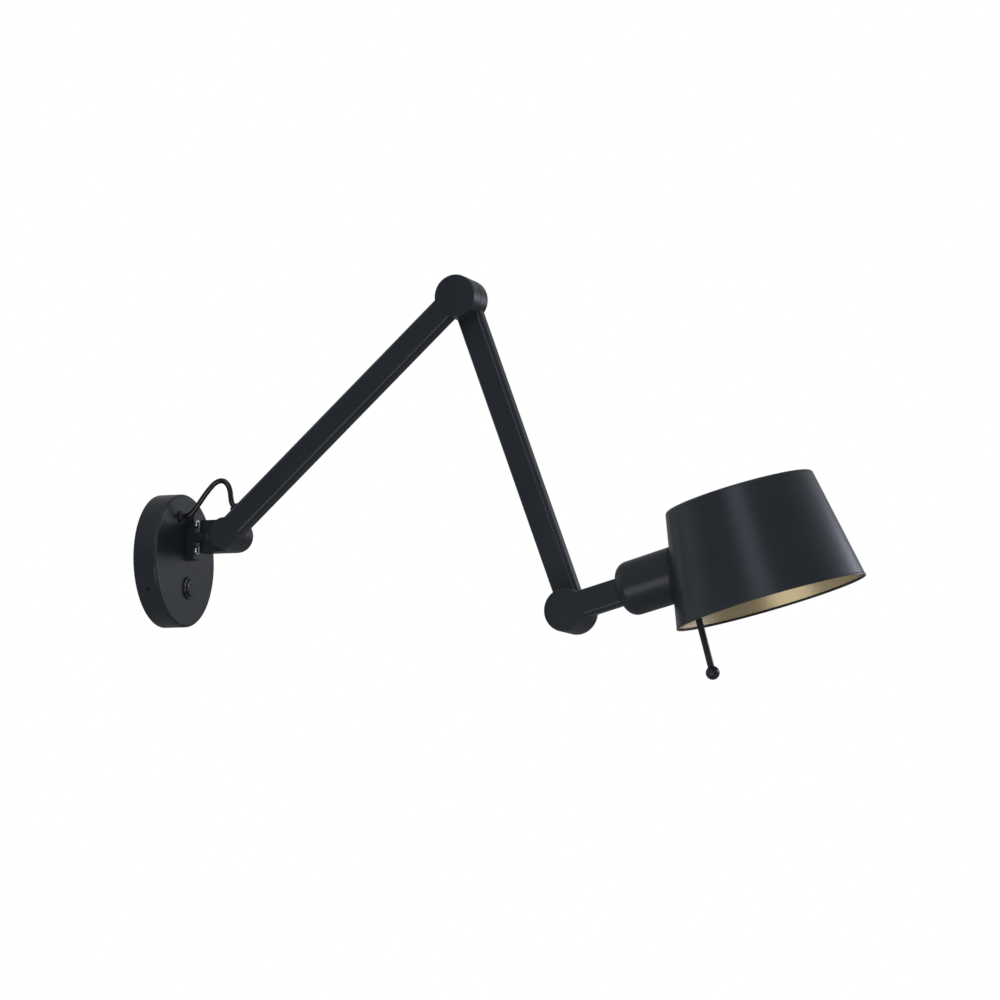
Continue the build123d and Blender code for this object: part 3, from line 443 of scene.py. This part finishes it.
# %% [markdown]
# ### The shade: black outside, gold inside
#
# The shade is one thin spun cone with two paints. One material serves both sides: it measures
# how far a point lies from the shade's own axis and compares that with the middle of the wall
# at that height, which curves inward at the rounded top edge. Nearer is the lining, further is
# the outside. The rim of the mouth stays black on both sides. The recipe needs no face numbers,
# so it still works if the solid is meshed anew.

# %% The head's own frame
cup_origin = Vector(joints["head_turn"]["pos_m"])
cup_axis = Vector(joints["head_turn"]["axis"]).normalized()
head_down = Vector((cup_axis.z, 0, -cup_axis.x))
SHADE_ROLL = radians(5.98)
SHADE_S = 177.15 * MM
SHADE_TOP_W = -50.95 * MM
SHADE_HEIGHT = 99.0 * MM
SHADE_TOP_R = 64.9 * MM
SHADE_BOTTOM_R = 83.5 * MM
SHADE_WALL = 1.0 * MM
SHADE_RIM = 1.8 * MM
SHADE_TOP_EDGE = 3.0 * MM
shade_down = Matrix.Rotation(SHADE_ROLL, 3, cup_axis) @ head_down
shade_top = cup_origin + cup_axis * SHADE_S + shade_down * SHADE_TOP_W
print("shade axis", [round(v, 3) for v in shade_down], "top", [round(v / MM, 1) for v in shade_top])

# %% Shade paint
GOLD_DARK = (0.50, 0.40, 0.235)
GOLD_PALE = (0.58, 0.475, 0.29)
GOLD_METALLIC = 0.5


def shade_finish():
    material, shader, place = start_material("shade_two_paints")
    from_top = place.vector("SUBTRACT", tuple(shade_top))
    depth = from_top.vector("DOT_PRODUCT", tuple(shade_down), "Value")
    on_axis = place.made(
        "ShaderNodeVectorMath", {0: tuple(shade_down), "Scale": depth}, operation="SCALE"
    )
    radius = from_top.vector("DISTANCE", on_axis, "Value")
    slope = (SHADE_BOTTOM_R - SHADE_TOP_R) / SHADE_HEIGHT
    past_side = (radius - depth * slope - (SHADE_TOP_R - SHADE_TOP_EDGE)).math("MAXIMUM", 0.0)
    past_top = (depth * -1 + SHADE_TOP_EDGE).math("MAXIMUM", 0.0)
    from_core = (past_side * past_side + past_top * past_top).math("SQRT")
    within = from_core < SHADE_TOP_EDGE - SHADE_WALL / 2
    lining = within * (depth < SHADE_HEIGHT - SHADE_RIM)

    drift = coat_skin(shader, place)
    outside = tint(drift, PAINT_DARK, PAINT_PALE)
    plug(shader, Base_Color=either(lining, outside, tint(drift, GOLD_DARK, GOLD_PALE)))
    plug(shader, Metallic=lining * GOLD_METALLIC)
    return material


shade_paint = shade_finish()
print("lining between", GOLD_DARK, "and", GOLD_PALE)

# %% [markdown]
# ### Metals
#
# Four metals are left bare: bright zinc on the screws, blackened steel on the bolts, nickel on
# the nipple and brass at the contacts. Each is the same recipe with other numbers: a colour
# that drifts a little, and fine streaks that raise the roughness, as a turned or rolled face
# has. Stretching the noise along one axis makes the streaks.

# %% Metals
STREAK = 0.3 * MM
STREAK_STRETCH = (1.0, 1.0, 6.0)
STREAK_GLOSS = 0.16
STREAK_DEPTH = 0.01 * MM
METAL_DRIFT = 6 * MM
METALS = {
    # name: (dark, pale, roughness)
    "zinc_plated_steel": ((0.60, 0.62, 0.66), (0.72, 0.73, 0.76), 0.22),
    "blackened_steel": ((0.045, 0.046, 0.050), (0.075, 0.075, 0.080), 0.38),
    "nickel_plate": ((0.58, 0.54, 0.48), (0.68, 0.64, 0.57), 0.20),
    "brass": ((0.66, 0.47, 0.20), (0.76, 0.57, 0.27), 0.30),
}


def bare_metal(name, dark, pale, roughness):
    material, shader, place = start_material(name)
    stretched = place.made("ShaderNodeMapping", {"Vector": place, "Scale": STREAK_STRETCH})
    streaks, drift = noise(stretched, STREAK, FINE_DETAIL), noise(place, METAL_DRIFT)
    plug(shader, Base_Color=tint(drift, dark, pale))
    plug(shader, Roughness=streaks * STREAK_GLOSS + (roughness - STREAK_GLOSS / 2))
    settle(shader, Metallic=1.0)
    bump(shader, streaks, STREAK_DEPTH, 0.4)
    return material


zinc_steel, dark_steel, nickel, brass = (bare_metal(name, *row) for name, row in METALS.items())
print("metals:", list(METALS))

# %% [markdown]
# ### Plastics and rubber
#
# The button and its bezel are glossy moulded plastic, the lampholder a matt heat-proof one, and
# the washers nylon. Moulded plastic is a base colour under a skin whose gloss differs: smooth
# tool steel leaves a gloss, an etched tool leaves a fine grain. So one recipe takes the gloss
# and the depth of the grain.

# %% Plastics
TOOL_GRAIN = 0.5 * MM
GRAIN_GLOSS = 0.10
PLASTIC_DRIFT = 12 * MM
PLASTICS = {
    # name: (dark, pale, roughness, depth of the grain, specular)
    "gloss_black_plastic": ((0.009, 0.009, 0.011), (0.012, 0.012, 0.014), 0.24, 0.002 * MM, 0.5),
    "matte_black_plastic": ((0.014, 0.014, 0.015), (0.020, 0.020, 0.021), 0.55, 0.02 * MM, 0.5),
    "white_plastic": ((0.72, 0.72, 0.69), (0.78, 0.78, 0.75), 0.40, 0.01 * MM, 0.5),
    "natural_nylon": ((0.66, 0.64, 0.57), (0.74, 0.72, 0.66), 0.42, 0.01 * MM, 0.5),
    "black_rubber": ((0.010, 0.010, 0.010), (0.015, 0.015, 0.015), 0.70, 0.03 * MM, 0.3),
}


def moulded(name, dark, pale, roughness, grain_depth, specular):
    material, shader, place = start_material(name)
    grain, drift = noise(place, TOOL_GRAIN, FINE_DETAIL), noise(place, PLASTIC_DRIFT)
    plug(shader, Base_Color=tint(drift, dark, pale))
    plug(shader, Roughness=grain * GRAIN_GLOSS + (roughness - GRAIN_GLOSS / 2))
    settle(shader, Specular_IOR_Level=specular)
    bump(shader, grain, grain_depth, 0.6)
    return material


gloss_black, matte_black, white_plastic, nylon, rubber_black = (
    moulded(name, *row) for name, row in PLASTICS.items()
)
print("plastics:", list(PLASTICS))

# %% [markdown]
# ### Cord skin
#
# The cord is extruded PVC: glossy, with hair-fine lines along it from the die. The lines must
# follow the loop, so this is the one material that reads a UV map. Round the cord its noise
# changes twelve times, and along it only every few centimetres, which draws it out to lines.

# %% Cord skin
CORD_DARK = (0.0030, 0.0030, 0.0034)
CORD_PALE = (0.0050, 0.0050, 0.0054)
CORD_ROUGHNESS = 0.14
CORD_DRIFT = 8 * MM
LINES_STRETCH = (12.0, 20.0, 1.0)
LINES_DEPTH = 0.003 * MM


def cord_skin():
    material, shader, place = start_material("cord_pvc")
    uv = place.made("ShaderNodeUVMap", uv_map="UVMap")
    stretched = uv.made("ShaderNodeMapping", {"Vector": uv, "Scale": LINES_STRETCH})
    lines, drift = noise(stretched, 1.0, FINE_DETAIL), noise(place, CORD_DRIFT)
    plug(shader, Base_Color=tint(drift, CORD_DARK, CORD_PALE))
    plug(shader, Roughness=lines * 0.08 + CORD_ROUGHNESS)
    bump(shader, lines, LINES_DEPTH, 0.4)
    return material


cord_black = cord_skin()
for piece in (cord_rise, cord_fall):
    piece.data.materials.append(cord_black)
print("cord skin ready")

# %% [markdown]
# ## Dress the solids
#
# Each solid names a finish in its record, and each finish has a material above. A solid is
# never moved or remeshed here: only what fills its material slot changes. Two solids look
# different from their record: the gland is as glossy as the bezel, and the swivel's washers
# are painted black, which is painted shade for the dark gap they sit in.

# %% Dress the solids
FINISHES = {
    "black_paint": black_paint, "shade_paint": shade_paint, "zinc_steel": zinc_steel,
    "dark_steel": dark_steel, "nickel": nickel, "brass": brass, "gloss_black": gloss_black,
    "matte_black": matte_black, "white_plastic": white_plastic, "nylon": nylon,
    "rubber_black": rubber_black, "cord_black": rubber_black,
}
finish_counts = {}
for solid in frame["nodes"].values():
    slot_name = solid.data.materials[0].name
    solid.material_slots[0].material = FINISHES[slot_name]
    finish_counts[slot_name] = finish_counts.get(slot_name, 0) + 1
frame["nodes"]["cable_gland"].material_slots[0].material = gloss_black
# The washers' black is painted shade: it stands in for the dark gap they sit in.
frame["nodes"]["swivel_washers"].material_slots[0].material = matte_black
print(finish_counts)

# %% [markdown]
# ## Recipes for turned parts
#
# Screws, threads and ribbed rings are all turned or rolled: a profile goes round an axis. In
# Geometry Nodes that is a flat grid whose one side becomes the profile and whose other side
# becomes the way round. A thread is the same grid with a radius that also depends on the way
# round, which a plain revolve can't do. Each recipe is a tree with named sizes, so that one
# tree makes many sizes of a part.

# %% Recipe helpers
MERGE_WITHIN = 1e-6
SHARP_FROM = radians(34)


def start_recipe(name, **sizes):
    """A Geometry Nodes tree with one named input for each size."""
    tree = bpy.data.node_groups.new(name, "GeometryNodeTree")
    tree.interface.new_socket("Geometry", in_out="OUTPUT", socket_type="NodeSocketGeometry")
    for size, value in sizes.items():
        kind = "NodeSocketInt" if isinstance(value, int) else "NodeSocketFloat"
        tree.interface.new_socket(size, in_out="INPUT", socket_type=kind).default_value = value
    entry = tree.nodes.new("NodeGroupInput")
    return tree, [Signal(tree, entry.outputs[size]) for size in sizes]


def turned(any_signal, steps, around, outline):
    """A closed form round +Z; outline(u, v) gives its radius and height, both 0 to 1 along it."""
    grid = any_signal.made(
        "GeometryNodeMeshGrid",
        {"Size X": 1.0, "Size Y": 1.0, "Vertices X": steps, "Vertices Y": around},
    )
    spot = grid.made("ShaderNodeSeparateXYZ", {0: grid.made("GeometryNodeInputPosition")})
    u = spot + 0.5
    v = Signal(grid.tree, spot.socket.node.outputs["Y"]) + 0.5
    radius, height = outline(u, v)
    turn = v * tau
    place = grid.made(
        "ShaderNodeCombineXYZ",
        {"X": radius * turn.math("COSINE"), "Y": radius * turn.math("SINE"), "Z": height},
    )
    moved = grid.made("GeometryNodeSetPosition", {"Geometry": grid, "Position": place})
    return moved.made("GeometryNodeMergeByDistance", {"Geometry": moved, "Distance": MERGE_WITHIN})


def between(signal, low, high):
    """1 where a signal lies between two numbers, and 0 elsewhere."""
    return (signal > low) * (signal < high)


def together(*parts):
    """Join several geometries; a Join node has one socket that takes many links."""
    joined = parts[0].made("GeometryNodeJoinGeometry")
    for part in parts:
        joined.tree.links.new(part.socket, joined.socket.node.inputs[0])
    return joined


def finish_recipe(geometry, material):
    """End a tree with real mesh and its material."""
    real = geometry.made("GeometryNodeRealizeInstances", {0: geometry})
    dressed = real.made("GeometryNodeSetMaterial", {"Geometry": real, "Material": material})
    out = geometry.tree.nodes.new("NodeGroupOutput")
    geometry.tree.links.new(dressed.socket, out.inputs["Geometry"])


def make_piece(name, tree, place, **sizes):
    """Run a recipe once, put its mesh in place and keep it as a plain piece."""
    carrier = bpy.data.objects.new("carrier", bpy.data.meshes.new("carrier"))
    bpy.context.collection.objects.link(carrier)
    modifier = carrier.modifiers.new("recipe", "NODES")
    modifier.node_group = tree
    for item in tree.interface.items_tree:
        if item.name in sizes:
            modifier[item.identifier] = sizes[item.name]
    bpy.context.view_layer.update()
    shown = bpy.context.evaluated_depsgraph_get()
    mesh = bpy.data.meshes.new_from_object(carrier.evaluated_get(shown), depsgraph=shown)
    bpy.data.objects.remove(carrier)
    mesh.transform(place)
    bm = bmesh.new()
    bm.from_mesh(mesh)
    bmesh.ops.recalc_face_normals(bm, faces=bm.faces)
    bm.to_mesh(mesh)
    bm.free()
    mesh.shade_smooth()
    mesh.set_sharp_from_angle(angle=SHARP_FROM)
    piece = bpy.data.objects.new(name, mesh)
    bpy.context.collection.objects.link(piece)
    reach = [[vertex.co[i] for vertex in mesh.vertices] for i in range(3)]
    size = [round((max(side) - min(side)) / MM, 1) for side in reach]
    print(name, len(mesh.polygons), "faces,", size, "mm")
    return piece


def upright_on(origin, axis, side):
    """The place of a part whose own +Z lies along an axis and whose +X faces a side."""
    axis, side = Vector(axis).normalized(), Vector(side).normalized()
    turn = Matrix((side, axis.cross(side), axis)).transposed().to_4x4()
    return Matrix.Translation(origin) @ turn


print("recipe helpers ready")

# %% [markdown]
# ## Pan-head screws
#
# Two M4 screws hold the swivel's base to the canopy. A pan head is a low dome with tight
# shoulders: a superellipse, with a cosine and a sine each raised to a small power. A driver's
# cross recess is cut out with a Boolean, and the shank gets a real helical thread. The shank's
# grid runs a little past both ends, where its radius drops to nothing, and that closes it. The
# tree makes one screw and puts a copy on each point of a short row. Half a turn about the
# screw's own axis makes the row run upwards.

# %% Pan-head screws
HEAD_H = 2.0 * MM
SHOULDER_POWER, DOME_POWER = 0.42, 0.75
THREAD_DEPTH = 0.9
SHANK_END = 0.02
PAST_END = 1.06
CROSS_SIZE = (4.4 * MM, 0.95 * MM, 2.2 * MM)
recipe, (head_r, head_h, shank_r, shank_l, pitch, count, gap) = start_recipe(
    "pan_head_screws", head_radius=4.0 * MM, head_height=HEAD_H, shank_radius=2.0 * MM,
    shank_length=12.0 * MM, pitch=0.7 * MM, count=2, gap=24.0 * MM,
)


def pan_head(u, v):
    lift = (u - 0.5) * pi
    shoulder = lift.math("COSINE").math("MAXIMUM", 0.0).math("POWER", SHOULDER_POWER)
    dome = lift.math("SINE").math("MAXIMUM", 0.0).math("POWER", DOME_POWER)
    return head_r * shoulder, head_h * dome


def threaded_shank(u, v):
    along = (u - 0.5) * PAST_END
    height = along.math("MINIMUM", 0.5).math("MAXIMUM", -0.5) * shank_l - shank_l * 0.5
    tooth = (height / pitch - v).math("FRACT").math("PINGPONG", 0.5)
    inside_ends = between(u, SHANK_END, 1 - SHANK_END)
    return (shank_r - tooth * pitch * THREAD_DEPTH) * inside_ends, height


head = turned(head_r, 22, 40, pan_head)
bar_x = head.made("GeometryNodeMeshCube", {"Size": CROSS_SIZE})
bar_y = head.made("GeometryNodeTransform", {"Geometry": bar_x, "Rotation": (0, 0, pi / 2)})
cross = together(bar_x, bar_y)
lift = head.made("ShaderNodeCombineXYZ", {"Z": head_h})
cross = cross.made("GeometryNodeTransform", {"Geometry": cross, "Translation": lift})
cut = {"Mesh 1": head, "Mesh 2": cross}
cut_head = head.made("GeometryNodeMeshBoolean", cut, operation="DIFFERENCE")
shank = turned(head_r, 150, 20, threaded_shank)
step = head.made("ShaderNodeCombineXYZ", {"Y": gap})
row = head.made("GeometryNodeMeshLine", {"Count": count, "Offset": step})
screw = together(cut_head, shank)
screws = row.made("GeometryNodeInstanceOnPoints", {"Points": row, "Instance": screw})
finish_recipe(screws, zinc_steel)

low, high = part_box("swivel_base_screws")
screw_r = (high[1] - low[1]) / 2
first_screw = Vector((high[0] - HEAD_H, (low[1] + high[1]) / 2, low[2] + screw_r))
half_turn = Matrix.Rotation(pi, 4, "Z")
base_screws = make_piece(
    "base_screws", recipe, upright_on(first_screw, (1, 0, 0), (0, -1, 0)) @ half_turn,
    head_radius=screw_r, gap=high[2] - low[2] - 2 * screw_r,
    shank_length=high[0] - HEAD_H - low[0],
)
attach(base_screws, "wall_plate")
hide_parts("swivel_base_screws")

# %% [markdown]
# ## The lampholder's thread
#
# The lampholder's shell is thin sheet, rolled so that both its faces wave: that is the round
# thread a bulb screws into. The grid goes up the inner face and down the outer one, and its
# radius waves with height minus the way round, which makes a helix.

# %% Rolled socket shell
recipe, (crest_r, depth, wall, shell_l, pitch) = start_recipe(
    "rolled_shell", crest_radius=13.3 * MM, thread_depth=0.55 * MM, wall=0.3 * MM,
    length=24.0 * MM, pitch=3.62 * MM,
)


def rolled_wall(u, v):
    there_and_back = (u * 2).math("PINGPONG", 1.0)
    height = there_and_back * shell_l
    wave = ((height / pitch - v) * tau).math("COSINE") * -0.5 + 0.5
    on_outside = between(u, 0.5, 0.999)
    return crest_r + depth * wave + wall * on_outside, height


shell = turned(crest_r, 161, 64, rolled_wall)
finish_recipe(shell, nickel)


def along_head(node):
    """Where a round node of the head starts and ends along the cup's axis, and its radius."""
    points = [vertex.co - cup_origin for vertex in frame["nodes"][node].data.vertices]
    heights = [point.dot(cup_axis) for point in points]
    radii = [(point - cup_axis * point.dot(cup_axis)).length for point in points]
    return min(heights), max(heights), max(radii)


start, end, _ = along_head("lampholder_shell")
socket_shell = make_piece(
    "socket_shell", recipe, upright_on(cup_origin + cup_axis * start, cup_axis, (0, 1, 0)),
    length=end - start,
)
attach(socket_shell, "head")
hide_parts("lampholder_shell")

# %% [markdown]
# ## The ribbed ring
#
# A plastic ring screws onto the lampholder and clamps the shade against the cup. Fingers need a
# grip, so its rim is ribbed all round: the radius dips with a cosine of the way round. Its
# section is a rectangle with one chamfer, walked from corner to corner in five steps.

# %% Ribbed ring
RING_STEPS = 5
STEPS_PER_RIB = 8
RIBS = 40
recipe, (inner_r, outer_r, ring_l, chamfer, rib_depth, ribs) = start_recipe(
    "ribbed_ring", inner_radius=19.5 * MM, outer_radius=22.9 * MM, length=9.0 * MM,
    chamfer=0.8 * MM, rib_depth=0.7 * MM, ribs=float(RIBS),
)


def ring_section(u, v):
    corner = u * RING_STEPS
    outside, front = between(corner, 0.5, 3.5), between(corner, 1.5, 4.5)
    cut_height, cut_radius = between(corner, 1.5, 2.5), between(corner, 2.5, 3.5)
    dip = (v * ribs * tau).math("COSINE") * -0.5 + 0.5
    radius = inner_r + outside * (outer_r - inner_r - dip * rib_depth) - cut_radius * chamfer
    return radius, front * ring_l - cut_height * chamfer


ring = turned(inner_r, RING_STEPS + 1, RIBS * STEPS_PER_RIB + 1, ring_section)
finish_recipe(ring, matte_black)

start, end, ring_r = along_head("shade_ring")
holder_ring = make_piece(
    "holder_ring", recipe, upright_on(cup_origin + cup_axis * start, cup_axis, (0, 1, 0)),
    inner_radius=along_head("lampholder_body")[2], outer_radius=ring_r, length=end - start,
)
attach(holder_ring, "head")
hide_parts("shade_ring")

# %% [markdown]
# ## The button's spring
#
# A small coil spring pushes the button out: a round wire swept along a spiral. Its foot stands
# on the switch and its top reaches the button.

# %% Coil spring
WIRE_R = 0.4 * MM
WIRE_SIDES = 12
STEPS_PER_TURN = 32
recipe, (coil_r, wire_r, coil_l, turns) = start_recipe(
    "coil_spring", coil_radius=4.4 * MM, wire_radius=WIRE_R, length=4.0 * MM, turns=3.0,
)
spiral = coil_r.made("GeometryNodeCurveSpiral", {
    "Resolution": STEPS_PER_TURN, "Rotations": turns,
    "Start Radius": coil_r, "End Radius": coil_r, "Height": coil_l,
})
wire = coil_r.made("GeometryNodeCurvePrimitiveCircle", {"Resolution": WIRE_SIDES, "Radius": wire_r})
swept = {"Curve": spiral, "Profile Curve": wire, "Fill Caps": True}
finish_recipe(spiral.made("GeometryNodeCurveToMesh", swept), zinc_steel)

low, high = (Vector(corner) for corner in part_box("switch_spring"))
foot = Vector((low.x, (low.y + high.y) / 2, (low.z + high.z) / 2))
outward = Vector((high.x - low.x, 0, 0))
switch_coil = make_piece(
    "switch_coil", recipe, upright_on(foot + Vector((WIRE_R, 0, 0)), outward, (0, 1, 0)),
    coil_radius=(high.y - low.y) / 2 - WIRE_R, wire_radius=WIRE_R,
    length=outward.length - 2 * WIRE_R,
)
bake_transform(switch_coil)
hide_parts("switch_spring")

# %% [markdown]
# ## The floor
#
# The floor lies well below the lamp, out of the photograph's frame. It matters in the other
# views, where it is pale: rays that look at it see a share of plain white over its lit surface,
# which still shows the lamp's soft shadow. Mirror rays see it greyer, as if in shade, so that
# the undersides of the arms stay dark.

# %% Floor
FLOOR_DROP = 0.80
FLOOR_HALF = 6.0
FLOOR_WHITE = 0.72
FLOOR_DARK = (0.84, 0.84, 0.84)
FLOOR_PALE = (0.88, 0.88, 0.88)
FLOOR_MIRRORED = (0.35, 0.35, 0.35, 1)
FLOOR_DRIFT = 0.4
FLOOR_ROUGHNESS = 0.6


def floor_finish():
    material, shader, place = start_material("pale_floor")
    drift = noise(place, FLOOR_DRIFT)
    pale = tint(drift, FLOOR_DARK, FLOOR_PALE)
    mirrored = place.made("ShaderNodeLightPath", output="Is Glossy Ray")
    plug(shader, Base_Color=either(mirrored, pale, FLOOR_MIRRORED))
    plug(shader, Roughness=drift * 0.1 + FLOOR_ROUGHNESS)
    looked_at = Signal(mirrored.tree, mirrored.socket.node.outputs["Is Camera Ray"])
    white = place.made("ShaderNodeEmission", {"Color": (1, 1, 1, 1), "Strength": 1.0})
    lit = Signal(mirrored.tree, shader.outputs["BSDF"])
    mixed = place.made("ShaderNodeMixShader", {0: looked_at * FLOOR_WHITE, 1: lit, 2: white})
    mixed.tree.links.new(mixed.socket, mixed.tree.nodes["Material Output"].inputs["Surface"])
    return material


floor_mesh = bpy.data.meshes.new("floor")
corners = [(x * FLOOR_HALF, y * FLOOR_HALF, -FLOOR_DROP) for x, y in ((-1, -1), (1, -1), (1, 1), (-1, 1))]
floor_mesh.from_pydata(corners, [], [(0, 1, 2, 3)])
floor_mesh.materials.append(floor_finish())
floor = bpy.data.objects.new("floor", floor_mesh)
bpy.context.collection.objects.link(floor)
print("floor", FLOOR_DROP, "m below the canopy's centre")
